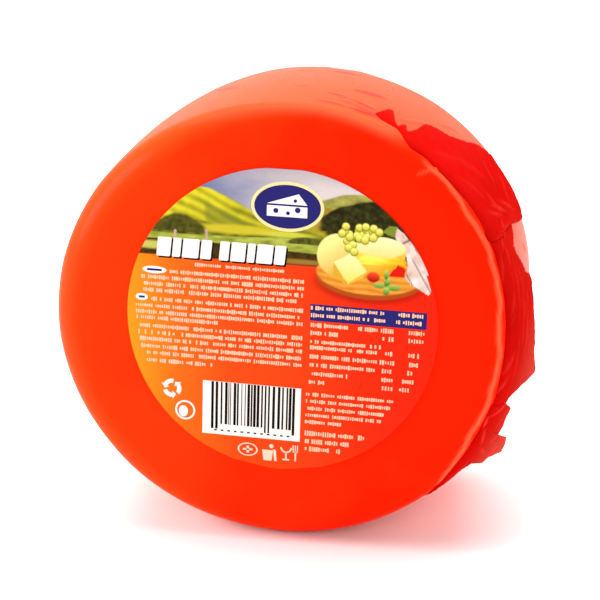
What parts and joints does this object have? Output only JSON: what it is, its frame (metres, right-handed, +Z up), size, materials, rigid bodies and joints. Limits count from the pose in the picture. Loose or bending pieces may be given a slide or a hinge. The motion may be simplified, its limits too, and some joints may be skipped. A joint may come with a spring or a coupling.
{
  "type": "film-wrapped wheel of cheese",
  "caption": "Small wheel of semi-hard cheese in translucent red film, standing on its rim, with a round face label and the folded bag end on its side.",
  "frame": {"origin": "middle of the small flat spot that the wheel stands on", "axes": "+Z up, -Y out of the labelled face, +X to the right of that face, where the folded bag end lies"},
  "size_m": [0.156, 0.0846, 0.1438],
  "materials": {
    "cheese": "smooth, slightly oily pressed cheese with no rind",
    "film": "glossy translucent red shrink film, orange-red over the pale cheese",
    "folded_film": "glossy translucent red film in several layers, deep red, creased",
    "label": "glossy printed paper label"
  },
  "bodies": {
    "root": {"cheese_wheel": "cheese", "film_bag": "film", "bag_tail": "folded_film", "face_label": "label"}
  },
  "joints": []
}
